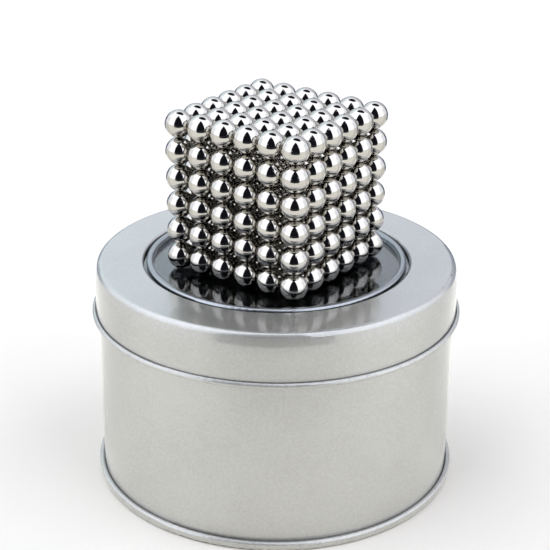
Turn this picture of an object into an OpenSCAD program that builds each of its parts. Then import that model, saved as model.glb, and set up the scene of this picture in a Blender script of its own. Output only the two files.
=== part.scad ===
// Cube of magnet balls on the window lid of its round storage tin.
// Millimetres, +Z up. The origin is the centre of the tin's underside and every row of balls runs along X.

/* [Balls] */
// Diameter of one magnet ball
ball_d = 4.98; // [4.5:0.01:4.99]
// Distance between the centres of two neighbouring balls
pitch = 5; // [5:0.01:5.1]

/* [Tin body] */
// Height of the closed tin, from the underside to the top of the lid
tin_h = 41.8; // [40:0.1:60]
// Outer radius of the body wall
wall_r = 33.2; // [32.5:0.1:40]
// Thickness of the tinplate
sheet = 0.28; // [0.2:0.01:0.32]
// Outer radius of the tube that the top edge of the wall is rolled into
wall_curl_r = 0.55; // [0.5:0.01:0.6]
// How far the seam band round the bottom stands out from the wall
seam_out = 1; // [0.8:0.05:1.4]
// Height of the seam band
seam_h = 1.7; // [1.7:0.05:4]
// Height of the bottom panel's underside above the table
panel_z = 1.4; // [0.8:0.1:1.8]

/* [Lid] */
// Height of the lid, from its top to the underside of its bead
lid_h = 9.8; // [6:0.1:14]
// Gap between the lid's skirt and the body wall
skirt_gap = 0.13; // [0.12:0.01:0.3]
// Outer radius of the rounded top edge
edge_r = 1; // [0.8:0.05:1.5]
// Radius of the gentle curve in which skirt and wall lean in below the top edge
shoulder_r = 14; // [12:0.5:30]
// Height of that curve, measured from the top of the lid
shoulder_h = 4; // [2:0.1:4]
// Outer radius of the bead along the skirt's bottom edge
bead_r = 0.5; // [0.48:0.01:0.8]
// Radius at which the top ring starts to roll down into the opening
opening_r = 25.05; // [24:0.05:27]
// Outer radius of the tube that the opening's edge is rolled into
opening_curl_r = 0.45; // [0.4:0.01:0.65]

/* [Window] */
// Depth of the window's flat face below the top of the lid
window_drop = 1; // [0.9:0.05:1.1]
// Thickness of the clear plastic sheet
pane_t = 0.4; // [0.3:0.05:0.4]
// Outer radius of the raised rim that shows inside the opening
rim_r = 24.05; // [23:0.05:24.1]
// Width of the raised rim
rim_w = 1.2; // [1:0.05:1.5]
// Height of the raised rim above the window's flat face
rim_h = 1.15; // [1.05:0.05:1.3]
// Outer radius of the flange under the lid
flange_r = 29.5; // [28:0.1:30.5]

/* [Foam liner] */
// Side of the square pocket that stores the cube of balls
pocket_w = 31; // [30.5:0.1:34]
// Depth of the pocket
pocket_d = 30.4; // [30:0.1:32]
// Height of the pocket's floor above the table
pocket_z = 5.2; // [3:0.1:6]

/* [Hidden] */
$fn = 96;
side = 6;
LAYERS = [1 : side];
ROWS = [1 : side];
function row_name(layer, row) = str("layer_", layer, "_row_", row);

slack = 0.02;
// The bottom seam is a slot that the lower edge of the wall stands in.
seam_r = wall_r + seam_out;
seam_round = 0.45;
slot_z = 0.45;
wall_in = wall_r - sheet;
// The top edge of the wall stops just under the lid's ring.
wall_top = tin_h - sheet - 0.07;
// Lid
skirt_in = wall_r + skirt_gap;
skirt_out = skirt_in + sheet;
lid_z = tin_h - lid_h;
bead_z = lid_z + bead_r;
curl_slit = 0.2;
// Centre of the curve in which skirt and wall lean in
shoulder_x = skirt_out - shoulder_r;
shoulder_z = tin_h - shoulder_h;
// Window, whose flange passes just under the rolled edge of the opening
window_z = tin_h - window_drop;
flange_z = tin_h - 2 * opening_curl_r - 0.05;
rim_round = 0.4;
seal_w = 3;
seal_r = flange_r - 0.3;
// Foam liner
foam_r = wall_in - 0.3;
foam_z = panel_z + sheet + slack;
foam_top = pocket_z + pocket_d;

tin_colour = [0.78, 0.78, 0.76];
ball_colour = [0.82, 0.82, 0.84];
clear_colour = [0.75, 0.82, 0.88, 0.5];
seal_colour = [0.9, 0.9, 0.88];
foam_colour = [0.06, 0.06, 0.07];

// A box in the profile plane, from its inner lower corner to its outer upper corner.
module strip(r0, z0, r1, z1) {
    translate([r0, z0]) square([r1 - r0, z1 - z0]);
}

// Cross-section of an edge rolled into a tube.
module curl(r, z, tube_r) {
    translate([r, z]) difference() {
        circle(r = tube_r);
        circle(r = tube_r - sheet);
    }
}

// Angle at which a tube of this radius, at this height, meets a curve about the shoulder's centre.
function meet_angle(curve_r, tube_r, z) = asin((z - shoulder_z) / (curve_r - tube_r));
// Radius, from the tin's axis, of that tube's centre
function meet_r(curve_r, tube_r, z) = shoulder_x + (curve_r - tube_r) * cos(meet_angle(curve_r, tube_r, z));

// Cross-section of the leaning sheet, from the straight part up to an angle.
module shoulder(curve_r, angle) {
    reach = 2 * curve_r;
    translate([shoulder_x, shoulder_z]) intersection() {
        difference() {
            circle(r = curve_r);
            circle(r = curve_r - sheet);
        }
        polygon([[0, 0], [reach, 0], [reach, reach * tan(angle)]]);
    }
}

// Body wall with its top edge rolled inwards. The slit is where the rolled edge ends.
module tin_wall() {
    curve_r = shoulder_r - sheet - skirt_gap;
    curl_z = wall_top - wall_curl_r;
    color(tin_colour) rotate_extrude() {
        strip(wall_in, slot_z + slack, wall_r, shoulder_z);
        shoulder(curve_r, meet_angle(curve_r, wall_curl_r, curl_z));
        difference() {
            curl(meet_r(curve_r, wall_curl_r, curl_z), curl_z, wall_curl_r);
            intersection() {
                translate([shoulder_x, shoulder_z]) difference() {
                    circle(r = curve_r - sheet);
                    circle(r = curve_r - sheet - curl_slit);
                }
                strip(shoulder_x, curl_z - wall_curl_r, skirt_out, curl_z - 0.1);
            }
        }
    }
}

// Bottom end: a raised panel, and a seam band that grips the lower edge of the wall.
module tin_base() {
    slot_in = wall_in - slack;
    slot_out = wall_r + slack;
    color(tin_colour) rotate_extrude() {
        strip(0, panel_z, slot_in, panel_z + sheet);
        strip(slot_in - sheet, 0, slot_in, panel_z + sheet);
        strip(slot_in - sheet, 0, seam_r - seam_round, slot_z);
        strip(slot_out, seam_round, seam_r, seam_h - seam_round);
        strip(slot_out, 0, seam_r - seam_round, seam_round);
        strip(slot_out + seam_round, seam_round, seam_r - seam_round, seam_h);
        for (p = [[seam_r, 0], [seam_r, seam_h - 2 * seam_round], [slot_out + 2 * seam_round, seam_h - 2 * seam_round]])
            translate([p[0] - seam_round, p[1] + seam_round]) circle(r = seam_round);
    }
}

// Foam disc with the square pocket for the cube of balls.
module foam_liner() {
    color(foam_colour) difference() {
        translate([0, 0, foam_z]) cylinder(r = foam_r, h = foam_top - foam_z);
        translate([-pocket_w / 2, -pocket_w / 2, pocket_z]) cube([pocket_w, pocket_w, pocket_d + 1]);
    }
}

// Lid: flat ring, rounded edge, skirt with a bead, and an opening with a rolled edge.
module lid_shell() {
    edge_z = tin_h - edge_r;
    edge_x = meet_r(shoulder_r, edge_r, edge_z);
    opening_z = tin_h - opening_curl_r;
    color(tin_colour) rotate_extrude() {
        strip(opening_r, tin_h - sheet, edge_x, tin_h);
        strip(skirt_in, bead_z, skirt_out, shoulder_z);
        shoulder(shoulder_r, meet_angle(shoulder_r, edge_r, edge_z));
        intersection() {
            curl(edge_x, edge_z, edge_r);
            strip(edge_x, edge_z, skirt_out, tin_h);
        }
        difference() {
            curl(skirt_in + bead_r, bead_z, bead_r);
            strip(skirt_out, bead_z + 0.1, skirt_out + curl_slit, bead_z + bead_r);
        }
        difference() {
            curl(opening_r, opening_z, opening_curl_r);
            strip(opening_r, tin_h - sheet - curl_slit, opening_r + opening_curl_r, tin_h - sheet);
        }
    }
}

// Foam tape that bonds the window's flange to the underside of the lid.
module window_seal_ring() {
    color(seal_colour) rotate_extrude()
        strip(seal_r - seal_w, flange_z + slack, seal_r, tin_h - sheet - slack);
}

// Clear window, pressed from one sheet: flat face, raised rim and flange.
module window_pane() {
    rim_in = rim_r - rim_w;
    rim_z = window_z + rim_h;
    rim_wall = pane_t * 0.85;
    flange_low = flange_z - pane_t;
    color(clear_colour) rotate_extrude() {
        strip(0, window_z - pane_t, rim_in + rim_wall, window_z);
        strip(rim_r - rim_wall, flange_low, flange_r, flange_z);
        difference() {
            union() {
                strip(rim_in, window_z - pane_t, rim_r, rim_z - rim_round);
                strip(rim_r - rim_wall, flange_low, rim_r, window_z);
                strip(rim_in + rim_round, window_z, rim_r - rim_round, rim_z);
                for (r = [rim_in + rim_round, rim_r - rim_round])
                    translate([r, rim_z - rim_round]) circle(r = rim_round);
            }
            strip(rim_in + rim_wall, flange_low, rim_r - rim_wall, rim_z - pane_t);
        }
    }
}

// One row of loose balls along X. Layers count upwards from the window, rows count along +Y.
module ball_row(layer, row) {
    first = -(side - 1) / 2 * pitch;
    y = first + (row - 1) * pitch;
    z = window_z + (layer - 0.5) * pitch;
    color(ball_colour) for (i = [0 : side - 1])
        translate([first + i * pitch, y, z]) sphere(d = ball_d);
}

tin_wall();
tin_base();
foam_liner();
lid_shell();
window_seal_ring();
window_pane();
for (layer = LAYERS, row = ROWS)
    ball_row(layer, row);
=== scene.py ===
"""Looks of a cube of magnet balls that stands on the window in the lid of its storage tin."""

import math

import bpy
from mathutils import Matrix, Vector


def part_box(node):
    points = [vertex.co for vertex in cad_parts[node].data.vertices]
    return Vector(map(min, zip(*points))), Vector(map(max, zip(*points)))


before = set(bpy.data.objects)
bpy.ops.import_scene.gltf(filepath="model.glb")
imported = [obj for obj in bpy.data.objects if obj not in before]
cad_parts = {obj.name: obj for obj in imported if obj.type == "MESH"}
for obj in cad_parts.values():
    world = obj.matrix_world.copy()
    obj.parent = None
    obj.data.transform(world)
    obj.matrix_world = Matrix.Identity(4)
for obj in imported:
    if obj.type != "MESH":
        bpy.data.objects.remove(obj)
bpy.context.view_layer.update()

MM = 0.001
SIDE = 6
LAYERS = range(1, SIDE + 1)
ROWS = range(1, SIDE + 1)

cube_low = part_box("layer_1_row_1")[0]
cube_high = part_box(f"layer_{SIDE}_row_{SIDE}")[1]
cube_centre = (cube_low + cube_high) / 2
pitch = (cube_high.x - cube_low.x) / SIDE
pane_z = cube_low.z
lid_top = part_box("lid_shell")[1].z

# Camera: the direction it looks from, how far off it is, and its aim point beside the cube's centre.
VIEW_AZIMUTH = math.radians(35.16)
VIEW_ELEVATION = math.radians(23.45)
VIEW_ROLL = math.radians(0.43)
VIEW_DISTANCE = 258.4 * MM
AIM_RIGHT = -0.37 * MM
AIM_UP = -16.3 * MM
LENS = 93.08
SENSOR_WIDTH = 36.0
NEAREST = 0.01
FARTHEST = 20.0

# Studio, as the polished balls show it. Colours are linear light.
SEEN_BACKGROUND = (1.0, 1.0, 1.0)
WHITE_COLOUR = (2.13, 2.23, 2.48)
# Dark wedge on the camera's side, widest at the horizon
WEDGE_AZIMUTH = math.radians(34.1)
WEDGE_HALF_WIDTH = math.radians(36)
WEDGE_TOP = math.radians(83)
WEDGE_SOFTNESS = 0.03
WEDGE_COLOUR = (0.012, 0.013, 0.018)
# Bluish backdrop behind the object. The edges are cosines and sines, as is their softness.
BACKDROP_LEFT = (1.17, 1.33, 1.44)
BACKDROP_RIGHT = (0.99, 1.00, 1.13)
BACKDROP_BLEND = 0.35
BACKDROP_EDGE = math.cos(math.radians(125))
BACKDROP_EDGE_SOFTNESS = 0.12
BACKDROP_FOOT = math.sin(math.radians(13))
BACKDROP_FOOT_SOFTNESS = 0.06
BACKDROP_TOP = (0.60, 0.85)
BEHIND_TABLE = (0.20, 0.24, 0.32)
# Greyer walls to the left and right
SIDE_COLOUR = (1.45, 1.52, 1.68)
SIDE_FRONT = (-0.08, 0.22)
SIDE_BACK = (-0.65, -0.40)
SIDE_TOP = math.sin(math.radians(35))
SIDE_TOP_SOFTNESS = 0.15
# Painted shade: the factor that dulls the mirrored table at the sides
TABLE_SIDE_PAINTED_SHADE = 0.80
# Small dark gap between the lights overhead
GAP_AZIMUTH = math.radians(194)
GAP_ELEVATION = math.radians(68)
GAP_HALF_WIDTH = math.radians(22)
GAP_HALF_HEIGHT = math.radians(16)
GAP_RIM = (0.75, 1.25)
GAP_COLOUR = (0.02, 0.022, 0.03)
# Table, with painted shade where reflections see it beyond its front edge, at the sides and far behind
TABLE_FRONT = 210 * MM
TABLE_FRONT_SOFTNESS = 6.3 * MM
TABLE_BACK = (135 * MM, 180 * MM)
TABLE_SIZE = 6.0
TABLE_SEEN = (0.78, 0.74, 0.67)
TABLE_REFLECTED = (0.96, 0.915, 0.80)
TABLE_SPECKLE = 1.01
# Painted shade: how dark reflections see the table far behind the object
TABLE_BEHIND_PAINTED_SHADE = 0.6
TABLE_ROUGHNESS = 0.9
TABLE_GLOSS = 0.1

# Nickel plating
NICKEL_WARM = (0.515, 0.495, 0.455)
NICKEL_COOL = (0.495, 0.475, 0.44)
NICKEL_HAZE = (0.44, 0.42, 0.385)
NICKEL_ROUGHNESS = 0.018
NICKEL_HAZE_ROUGHNESS = 0.025
NICKEL_LINE_ROUGHNESS = 0.12
NICKEL_RIPPLE = 0.004 * MM
NICKEL_LINE_DEPTH = 0.002 * MM

# Tinplate
TIN_RADIUS = 33 * MM
TIN_DARK = (0.398, 0.392, 0.366)
TIN_LIGHT = (0.44, 0.434, 0.406)
TIN_SPARKLE = (0.70, 0.69, 0.67)
TIN_WORN = (0.35, 0.34, 0.325)
TIN_SCRATCHED = (0.60, 0.59, 0.57)
TIN_METALLIC = 0.88
TIN_ROUGHNESS = 0.42
TIN_TOP_SMOOTHER = 0.12
TIN_GRAIN_ROUGHNESS = 0.12
TIN_MOTTLE_ROUGHNESS = 0.06
TIN_WEAR_ROUGHNESS = 0.10
TIN_COAT_ROUGHNESS = 0.10
TIN_COAT_IOR = 1.75
TIN_GRAIN_DEPTH = 0.004 * MM
TIN_SCRATCH_DEPTH = 0.003 * MM
SCUFF_INNER = 33.75 * MM
SCUFF_OUTER = 34.15 * MM

# Window
RIM_INNER = 22.85 * MM
RIM_SOFTNESS = 0.1 * MM
RIM_RISE = 0.3 * MM
PLASTIC_COLOUR = (0.90, 0.96, 0.98)
PLASTIC_IOR = 1.49
PLASTIC_ROUGHNESS = 0.05
PLASTIC_HAZE_ROUGHNESS = 0.03
PLASTIC_LINE_DEPTH = 0.002 * MM
RIM_COLOUR = (0.37, 0.39, 0.405)
RIM_METALLIC = 0.85
RIM_ROUGHNESS = 0.24

# Foam liner and foam tape
FOAM_PORE_PAINTED_SHADE = (0.006, 0.006, 0.007)
FOAM_SKIN = (0.022, 0.022, 0.024)
FOAM_GLOSS = 0.2
FOAM_DEPTH = 0.25 * MM
TAPE_DARK = (0.62, 0.63, 0.64)
TAPE_LIGHT = (0.74, 0.75, 0.76)
TAPE_DEPTH = 0.05 * MM


def direction(azimuth, elevation):
    """The unit vector towards a place in the studio. Azimuth 0 is along -Y and 90 along +X."""
    level = math.cos(elevation)
    return Vector((math.sin(azimuth) * level, -math.cos(azimuth) * level, math.sin(elevation)))


# ---------------------------------------------------------------- node helpers


def connect(tree, socket, value):
    """Links an output to the socket, or sets the socket to a constant."""
    if isinstance(value, bpy.types.NodeSocket):
        tree.links.new(value, socket)
    else:
        socket.default_value = value


def add(tree, kind, inputs=None, **settings):
    """Makes a node, with its settings and inputs."""
    node = tree.nodes.new(kind)
    for name, value in settings.items():
        setattr(node, name, value)
    for key, value in (inputs or {}).items():
        connect(tree, node.inputs[key], value)
    return node


def calc(tree, operation, *values):
    """A Math node's output."""
    return add(tree, "ShaderNodeMath", dict(enumerate(values)), operation=operation).outputs[0]


def vector_calc(tree, operation, *values, output=0):
    """A Vector Math node's output."""
    inputs = dict(enumerate(values))
    return add(tree, "ShaderNodeVectorMath", inputs, operation=operation).outputs[output]


def dot(tree, vector, fixed):
    """The dot product with a fixed vector."""
    return vector_calc(tree, "DOT_PRODUCT", vector, tuple(fixed), output="Value")


def ramp(tree, value, start, end, low=0.0, high=1.0):
    """Goes smoothly from low to high as the value goes from start to end."""
    inputs = {"Value": value, "From Min": start, "From Max": end, "To Min": low, "To Max": high}
    node = add(tree, "ShaderNodeMapRange", inputs, interpolation_type="SMOOTHSTEP")
    return node.outputs["Result"]


def fall(tree, value, start, end):
    """Goes smoothly from 1 to 0 as the value goes from start to end."""
    return ramp(tree, value, start, end, 1.0, 0.0)


def mix_colour(tree, share, first, second):
    """A mix of two colours."""
    node = add(tree, "ShaderNodeMix", {"Factor": share}, data_type="RGBA")
    for name, value in (("A_Color", first), ("B_Color", second)):
        socket = next(s for s in node.inputs if s.identifier == name)
        if isinstance(value, tuple) and len(value) == 3:
            value = (*value, 1.0)
        connect(tree, socket, value)
    return next(s for s in node.outputs if s.identifier == "Result_Color")


def dimmed(colour, factor):
    """A colour times a factor."""
    return tuple(channel * factor for channel in colour)


def noise(tree, vector, scale, detail=3.0, roughness=0.5):
    """A Noise texture's value, about 0.5 on average."""
    inputs = {"Vector": vector, "Scale": scale, "Detail": detail, "Roughness": roughness}
    return add(tree, "ShaderNodeTexNoise", inputs).outputs["Fac"]


def stretched(tree, vector, factors, turn=(0.0, 0.0, 0.0)):
    """Turned, then scaled coordinates."""
    turned = add(tree, "ShaderNodeMapping", {"Vector": vector, "Rotation": turn}).outputs[0]
    return vector_calc(tree, "MULTIPLY", turned, factors)


def hairlines(tree, vector, factors, turn, width, cut):
    """Thin broken lines, 1 on a line and 0 off it."""
    break_scale = 900.0
    break_softness = 0.08
    place = stretched(tree, vector, factors, turn)
    cells = add(tree, "ShaderNodeTexVoronoi", {"Vector": place, "Scale": 1.0}, feature="DISTANCE_TO_EDGE")
    line = fall(tree, cells.outputs["Distance"], 0.0, width)
    broken = ramp(tree, noise(tree, vector, break_scale, 2.0), cut, cut + break_softness)
    return calc(tree, "MULTIPLY", line, broken)


def axis_distance(tree, parts):
    """The distance from the tin's axis."""
    flat = add(tree, "ShaderNodeCombineXYZ", {"X": parts.outputs["X"], "Y": parts.outputs["Y"]})
    return vector_calc(tree, "LENGTH", flat.outputs[0], output="Value")


def material(name):
    """An empty material, its tree, its shader and its object coordinates."""
    made = bpy.data.materials.new(name)
    made.use_nodes = True
    tree = made.node_tree
    tree.nodes.clear()
    shader = add(tree, "ShaderNodeBsdfPrincipled")
    output = add(tree, "ShaderNodeOutputMaterial")
    tree.links.new(shader.outputs[0], output.inputs["Surface"])
    place = add(tree, "ShaderNodeTexCoord").outputs["Object"]
    return made, tree, shader, place


def bump(tree, height, distance, normal=None):
    """A Bump node's normal, for a height of 1 that is worth the distance."""
    inputs = {"Height": height, "Distance": distance, "Strength": 1.0}
    if normal is not None:
        inputs["Normal"] = normal
    return add(tree, "ShaderNodeBump", inputs).outputs["Normal"]


# ---------------------------------------------------------------- materials


def polished_nickel():
    """Nickel plating: a mirror with a few hairlines and a little haze, no two balls alike."""
    made, tree, shader, place = material("polished_nickel")
    pattern_shift = (0.4, 0.4, 0.4)
    line_width = 0.02
    haze_share = 0.3
    cell = vector_calc(tree, "SUBTRACT", place, tuple(cube_low))
    cell = vector_calc(tree, "FLOOR", vector_calc(tree, "DIVIDE", cell, (pitch,) * 3))
    ball = add(tree, "ShaderNodeTexWhiteNoise", {"Vector": cell}, noise_dimensions="3D")
    own = vector_calc(tree, "MULTIPLY_ADD", ball.outputs["Color"], pattern_shift, place)
    lines = calc(
        tree,
        "MAXIMUM",
        hairlines(tree, own, (2600.0, 240.0, 240.0), (0.4, 0.9, 0.3), line_width, 0.52),
        hairlines(tree, own, (240.0, 240.0, 2300.0), (1.2, 0.2, 2.1), line_width, 0.55),
    )
    haze = ramp(tree, noise(tree, own, 420.0, 4.0), 0.45, 0.75)
    rough = calc(tree, "MULTIPLY_ADD", haze, NICKEL_HAZE_ROUGHNESS, NICKEL_ROUGHNESS)
    rough = calc(tree, "MULTIPLY_ADD", lines, NICKEL_LINE_ROUGHNESS, rough)
    connect(tree, shader.inputs["Roughness"], rough)
    tint = mix_colour(tree, ball.outputs["Value"], NICKEL_WARM, NICKEL_COOL)
    tint = mix_colour(tree, calc(tree, "MULTIPLY", haze, haze_share), tint, NICKEL_HAZE)
    connect(tree, shader.inputs["Base Color"], tint)
    shader.inputs["Metallic"].default_value = 1.0
    ripple = noise(tree, own, 330.0, 2.0)
    normal = bump(tree, ripple, NICKEL_RIPPLE)
    connect(tree, shader.inputs["Normal"], bump(tree, lines, -NICKEL_LINE_DEPTH, normal))
    return made


def tinplate():
    """Satin tinplate: rolling grain, faint mottling and sparkle, scuffs on the edges that stand out."""
    made, tree, shader, place = material("satin_tinplate")
    sparkle_share = 0.14
    wear_share = 0.5
    scratch_share = 0.4
    fine_height = 0.7
    top_start = lid_top - 0.5 * MM
    top_end = lid_top - 0.1 * MM
    parts = add(tree, "ShaderNodeSeparateXYZ", {"Vector": place})
    radius = axis_distance(tree, parts)
    angle = calc(tree, "ARCTAN2", parts.outputs["Y"], parts.outputs["X"])
    around = calc(tree, "MULTIPLY", angle, TIN_RADIUS)
    wrapped = add(tree, "ShaderNodeCombineXYZ", {"X": around, "Y": parts.outputs["Z"], "Z": radius})
    grain = noise(tree, stretched(tree, wrapped.outputs[0], (420.0, 9000.0, 9000.0)), 1.0, 3.0)
    fine = noise(tree, place, 9000.0, 2.0)
    sparkle = noise(tree, place, 2200.0, 3.0, 0.6)
    mottle = noise(tree, place, 55.0, 4.0, 0.6)
    scuffed = ramp(tree, radius, SCUFF_INNER, SCUFF_OUTER)
    scuffs = ramp(tree, noise(tree, place, 1400.0, 4.0), 0.5, 0.7)
    wear = calc(tree, "MULTIPLY", scuffed, scuffs)
    scratches = hairlines(tree, place, (1500.0, 60.0, 90.0), (0.2, 0.5, 0.7), 0.015, 0.56)
    on_top = ramp(tree, parts.outputs["Z"], top_start, top_end)
    rough = calc(tree, "MULTIPLY_ADD", on_top, -TIN_TOP_SMOOTHER, TIN_ROUGHNESS)
    rough = calc(tree, "MULTIPLY_ADD", grain, TIN_GRAIN_ROUGHNESS, rough)
    rough = calc(tree, "MULTIPLY_ADD", mottle, TIN_MOTTLE_ROUGHNESS, rough)
    rough = calc(tree, "MULTIPLY_ADD", wear, TIN_WEAR_ROUGHNESS, rough)
    connect(tree, shader.inputs["Roughness"], rough)
    tint = mix_colour(tree, ramp(tree, mottle, 0.3, 0.7), TIN_DARK, TIN_LIGHT)
    bright = ramp(tree, sparkle, 0.35, 0.65, 0.0, sparkle_share)
    tint = mix_colour(tree, bright, tint, TIN_SPARKLE)
    tint = mix_colour(tree, calc(tree, "MULTIPLY", wear, wear_share), tint, TIN_WORN)
    tint = mix_colour(tree, calc(tree, "MULTIPLY", scratches, scratch_share), tint, TIN_SCRATCHED)
    connect(tree, shader.inputs["Base Color"], tint)
    shader.inputs["Metallic"].default_value = TIN_METALLIC
    shader.inputs["Coat Weight"].default_value = 1.0
    shader.inputs["Coat Roughness"].default_value = TIN_COAT_ROUGHNESS
    shader.inputs["Coat IOR"].default_value = TIN_COAT_IOR
    height = calc(tree, "ADD", grain, calc(tree, "MULTIPLY", fine, fine_height))
    normal = bump(tree, height, TIN_GRAIN_DEPTH)
    connect(tree, shader.inputs["Normal"], bump(tree, scratches, -TIN_SCRATCH_DEPTH, normal))
    return made


def window_plastic():
    """Clear plastic, silvered on its raised rim, with fine scratches where the cube is slid off."""
    made, tree, shader, place = material("window_plastic")
    line_width = 0.012
    lines = calc(
        tree,
        "MAXIMUM",
        hairlines(tree, place, (900.0, 50.0, 50.0), (0.0, 0.0, 0.4), line_width, 0.5),
        hairlines(tree, place, (50.0, 800.0, 50.0), (0.0, 0.0, 0.9), line_width, 0.55),
    )
    haze = ramp(tree, noise(tree, place, 120.0, 4.0), 0.5, 0.8)
    parts = add(tree, "ShaderNodeSeparateXYZ", {"Vector": place})
    radius = axis_distance(tree, parts)
    outside = ramp(tree, radius, RIM_INNER - RIM_SOFTNESS, RIM_INNER + RIM_SOFTNESS)
    raised = ramp(tree, parts.outputs["Z"], pane_z, pane_z + RIM_RISE)
    silvered = calc(tree, "MULTIPLY", outside, raised)
    rough = calc(tree, "MULTIPLY_ADD", haze, PLASTIC_HAZE_ROUGHNESS, PLASTIC_ROUGHNESS)
    rough = calc(tree, "MULTIPLY_ADD", silvered, RIM_ROUGHNESS, rough)
    connect(tree, shader.inputs["Roughness"], rough)
    connect(tree, shader.inputs["Metallic"], calc(tree, "MULTIPLY", silvered, RIM_METALLIC))
    shader.inputs["Transmission Weight"].default_value = 1.0
    connect(tree, shader.inputs["Base Color"], mix_colour(tree, silvered, PLASTIC_COLOUR, RIM_COLOUR))
    shader.inputs["IOR"].default_value = PLASTIC_IOR
    connect(tree, shader.inputs["Normal"], bump(tree, lines, -PLASTIC_LINE_DEPTH))
    return made


def black_foam():
    """Open-celled black foam, with painted shade in its pores."""
    made, tree, shader, place = material("open_cell_foam")
    lump_height = 0.6
    cells = add(tree, "ShaderNodeTexVoronoi", {"Vector": place, "Scale": 1800.0}).outputs["Distance"]
    lumps = noise(tree, place, 600.0, 4.0)
    pores = calc(tree, "MULTIPLY_ADD", lumps, lump_height, fall(tree, cells, 0.1, 0.7))
    # Painted shade: the pores are darker than the foam's skin
    tint = mix_colour(tree, ramp(tree, cells, 0.2, 0.7), FOAM_PORE_PAINTED_SHADE, FOAM_SKIN)
    connect(tree, shader.inputs["Base Color"], tint)
    connect(tree, shader.inputs["Roughness"], ramp(tree, lumps, 0.3, 0.7, 0.85, 1.0))
    shader.inputs["Specular IOR Level"].default_value = FOAM_GLOSS
    connect(tree, shader.inputs["Normal"], bump(tree, pores, -FOAM_DEPTH))
    return made


def foam_tape():
    """Pale closed-cell tape that bonds the window under the lid."""
    made, tree, shader, place = material("foam_tape")
    cells = noise(tree, place, 5000.0, 3.0)
    tint = mix_colour(tree, ramp(tree, cells, 0.35, 0.65), TAPE_DARK, TAPE_LIGHT)
    connect(tree, shader.inputs["Base Color"], tint)
    connect(tree, shader.inputs["Roughness"], ramp(tree, cells, 0.3, 0.7, 0.6, 0.8))
    connect(tree, shader.inputs["Normal"], bump(tree, cells, TAPE_DEPTH))
    return made


def dress(node, made):
    """Gives every material slot of a CAD node the material."""
    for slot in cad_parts[node].material_slots:
        slot.material = made


def dress_all():
    """Gives every CAD node its material."""
    nickel = polished_nickel()
    for layer in LAYERS:
        for row in ROWS:
            dress(f"layer_{layer}_row_{row}", nickel)
    satin = tinplate()
    for node in ("tin_wall", "tin_base", "lid_shell"):
        dress(node, satin)
    dress("window_pane", window_plastic())
    dress("foam_liner", black_foam())
    dress("window_seal_ring", foam_tape())


# ---------------------------------------------------------------- studio


def side_vector():
    """The level direction to the camera's right, when it looks over the wedge's foot."""
    forward = direction(WEDGE_AZIMUTH, 0.0)
    return Vector((-forward.y, forward.x, 0.0))


def wedge_share(tree, place):
    """1 inside the dark wedge that opens towards the camera's side, narrowing upwards, and 0 outside it."""
    forward = direction(WEDGE_AZIMUTH, 0.0)
    slope = math.tan(WEDGE_HALF_WIDTH)
    leaning = forward * slope - Vector((0.0, 0.0, slope / math.tan(WEDGE_TOP)))
    offset = calc(tree, "ABSOLUTE", dot(tree, place, side_vector()))
    inside = calc(tree, "SUBTRACT", dot(tree, place, leaning), offset)
    return ramp(tree, inside, 0.0, WEDGE_SOFTNESS)


def facing_wedge(tree, place):
    """The cosine of the level angle between a direction and the middle of the wedge."""
    level = vector_calc(tree, "NORMALIZE", vector_calc(tree, "MULTIPLY", place, (1.0, 1.0, 0.0)))
    return dot(tree, level, direction(WEDGE_AZIMUTH, 0.0))


def behind_share(tree, place):
    """1 in the directions behind the object, and 0 in front of it and beside it."""
    start = BACKDROP_EDGE - BACKDROP_EDGE_SOFTNESS
    end = BACKDROP_EDGE + BACKDROP_EDGE_SOFTNESS
    return fall(tree, facing_wedge(tree, place), start, end)


def side_share(tree, place):
    """1 in the directions to the left and right of the object, and 0 in front of it and behind it."""
    facing = facing_wedge(tree, place)
    return calc(tree, "MULTIPLY", fall(tree, facing, *SIDE_FRONT), ramp(tree, facing, *SIDE_BACK))


def gap_share(tree, place):
    """1 in the oval gap between the soft lights overhead, and 0 outside it."""
    middle = direction(GAP_AZIMUTH, GAP_ELEVATION)
    wide = middle.cross(Vector((0.0, 0.0, 1.0))).normalized() / math.sin(GAP_HALF_WIDTH)
    tall = middle.cross(wide).normalized() / math.sin(GAP_HALF_HEIGHT)
    across = calc(tree, "POWER", dot(tree, place, wide), 2.0)
    along = calc(tree, "POWER", dot(tree, place, tall), 2.0)
    inside = fall(tree, calc(tree, "ADD", across, along), *GAP_RIM)
    return calc(tree, "MULTIPLY", inside, ramp(tree, dot(tree, place, middle), 0.0, 0.1))


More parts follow.
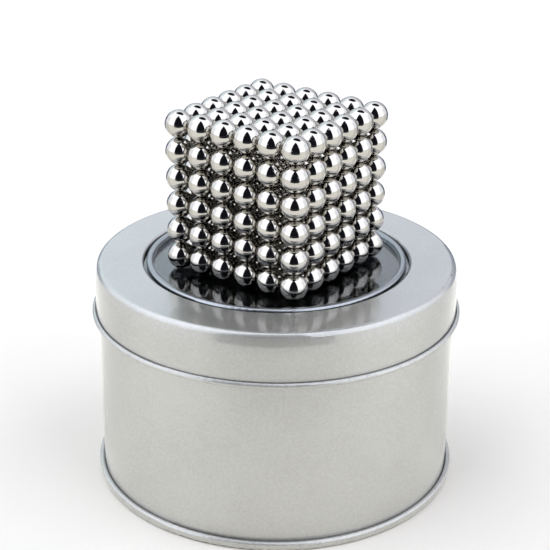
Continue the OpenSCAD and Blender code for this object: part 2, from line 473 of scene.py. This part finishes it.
def build_world():
    """White all round, with greyer sides, a bluish backdrop, the dark wedge and a gap overhead."""
    world = bpy.data.worlds.new("studio")
    world.use_nodes = True
    bpy.context.scene.world = world
    tree = world.node_tree
    tree.nodes.clear()
    place = add(tree, "ShaderNodeTexCoord").outputs["Generated"]
    height = add(tree, "ShaderNodeSeparateXYZ", {"Vector": place}).outputs["Z"]
    across = ramp(tree, dot(tree, place, side_vector()), -BACKDROP_BLEND, BACKDROP_BLEND)
    backdrop = mix_colour(tree, across, BACKDROP_LEFT, BACKDROP_RIGHT)
    foot_start = BACKDROP_FOOT - BACKDROP_FOOT_SOFTNESS
    foot_end = BACKDROP_FOOT + BACKDROP_FOOT_SOFTNESS
    backdrop = mix_colour(tree, ramp(tree, height, foot_start, foot_end), BEHIND_TABLE, backdrop)
    low = fall(tree, height, *BACKDROP_TOP)
    behind = calc(tree, "MULTIPLY", behind_share(tree, place), low)
    side_low = fall(tree, height, SIDE_TOP - SIDE_TOP_SOFTNESS, SIDE_TOP + SIDE_TOP_SOFTNESS)
    beside = calc(tree, "MULTIPLY", side_share(tree, place), side_low)
    colour = mix_colour(tree, beside, WHITE_COLOUR, SIDE_COLOUR)
    colour = mix_colour(tree, behind, colour, backdrop)
    colour = mix_colour(tree, wedge_share(tree, place), colour, WEDGE_COLOUR)
    colour = mix_colour(tree, gap_share(tree, place), colour, GAP_COLOUR)
    seen = add(tree, "ShaderNodeLightPath").outputs["Is Camera Ray"]
    colour = mix_colour(tree, seen, colour, SEEN_BACKGROUND)
    background = add(tree, "ShaderNodeBackground", {"Color": colour, "Strength": 1.0})
    output = add(tree, "ShaderNodeOutputWorld")
    tree.links.new(background.outputs[0], output.inputs["Surface"])


def table_material():
    """Pale where it is seen. Mirrored, it is cream, with painted shade: duller at the sides, dark at the
    wedge's foot and dark far behind.
    """
    made, tree, shader, place = material("pale_table")
    speckle = noise(tree, place, 40.0, 4.0)
    lighter = dimmed(TABLE_SEEN, TABLE_SPECKLE)
    seen_tint = mix_colour(tree, ramp(tree, speckle, 0.3, 0.7), TABLE_SEEN, lighter)
    # Painted shade: beyond its front edge and inside the wedge, reflections see the table in the wedge's
    # dark colour
    reach = dot(tree, place, direction(WEDGE_AZIMUTH, 0.0))
    in_front = ramp(tree, reach, TABLE_FRONT - TABLE_FRONT_SOFTNESS, TABLE_FRONT + TABLE_FRONT_SOFTNESS)
    dark = calc(tree, "MULTIPLY", in_front, wedge_share(tree, place))
    # Painted shade: to reflections the table is duller at the sides
    painted_shade_side_table = dimmed(TABLE_REFLECTED, TABLE_SIDE_PAINTED_SHADE)
    mirrored = mix_colour(tree, side_share(tree, place), TABLE_REFLECTED, painted_shade_side_table)
    mirrored = mix_colour(tree, dark, mirrored, WEDGE_COLOUR)
    # Painted shade: far behind the object, reflections see the table dark
    away = vector_calc(tree, "LENGTH", place, output="Value")
    far_off = ramp(tree, away, *TABLE_BACK)
    behind = calc(tree, "MULTIPLY", far_off, behind_share(tree, place))
    mirrored = mix_colour(tree, behind, mirrored, dimmed(BEHIND_TABLE, TABLE_BEHIND_PAINTED_SHADE))
    seen = add(tree, "ShaderNodeLightPath").outputs["Is Camera Ray"]
    connect(tree, shader.inputs["Base Color"], mix_colour(tree, seen, mirrored, seen_tint))
    shader.inputs["Roughness"].default_value = TABLE_ROUGHNESS
    shader.inputs["Specular IOR Level"].default_value = TABLE_GLOSS
    return made


def build_table():
    """A plain pale table."""
    bpy.ops.mesh.primitive_plane_add(size=TABLE_SIZE, location=(0.0, 0.0, 0.0))
    table = bpy.context.object
    table.name = "studio_table"
    table.data.materials.append(table_material())


def build_camera():
    """The camera at the product's viewing angle, with a long lens."""
    back = direction(VIEW_AZIMUTH, VIEW_ELEVATION)
    right = (-back).cross(Vector((0.0, 0.0, 1.0))).normalized()
    up = right.cross(-back)
    rolled_right = right * math.cos(VIEW_ROLL) + up * math.sin(VIEW_ROLL)
    rolled_up = up * math.cos(VIEW_ROLL) - right * math.sin(VIEW_ROLL)
    data = bpy.data.cameras.new("product_camera")
    data.lens = LENS
    data.sensor_width = SENSOR_WIDTH
    data.clip_start = NEAREST
    data.clip_end = FARTHEST
    camera = bpy.data.objects.new("product_camera", data)
    bpy.context.scene.collection.objects.link(camera)
    axes = Matrix((rolled_right, rolled_up, back)).transposed()
    camera.matrix_world = axes.to_4x4()
    aim = cube_centre + rolled_right * AIM_RIGHT + rolled_up * AIM_UP
    camera.location = aim + back * VIEW_DISTANCE
    bpy.context.scene.camera = camera


dress_all()
build_world()
build_table()
build_camera()
bpy.context.scene.view_settings.view_transform = "Standard"
